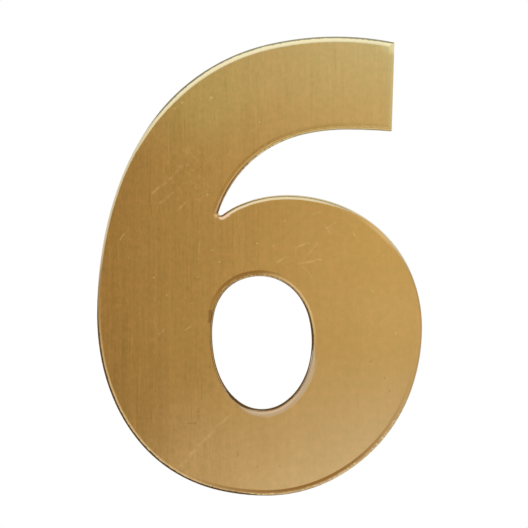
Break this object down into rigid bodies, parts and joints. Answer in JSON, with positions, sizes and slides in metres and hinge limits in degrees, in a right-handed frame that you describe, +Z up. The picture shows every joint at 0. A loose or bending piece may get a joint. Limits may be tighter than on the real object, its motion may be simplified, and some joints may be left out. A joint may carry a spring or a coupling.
{
  "type": "house number",
  "caption": "Solid brass numeral six with a flat brushed face and a softly rounded front edge, fixed to a wall by hidden studs in tapped back holes.",
  "frame": {"origin": "on the wall plane, midway between the two tapped holes in the back", "axes": "+Z up the wall along the numeral's height, +Y into the wall, so the face looks along -Y; +X to the right of a person reading it"},
  "size_m": [0.0708, 0.005, 0.1],
  "materials": {
    "brass": "face brushed lengthwise and lightly tarnished, with fine scratches; rounded edge polished"
  },
  "bodies": {
    "root": {"numeral": "brass"}
  },
  "joints": []
}
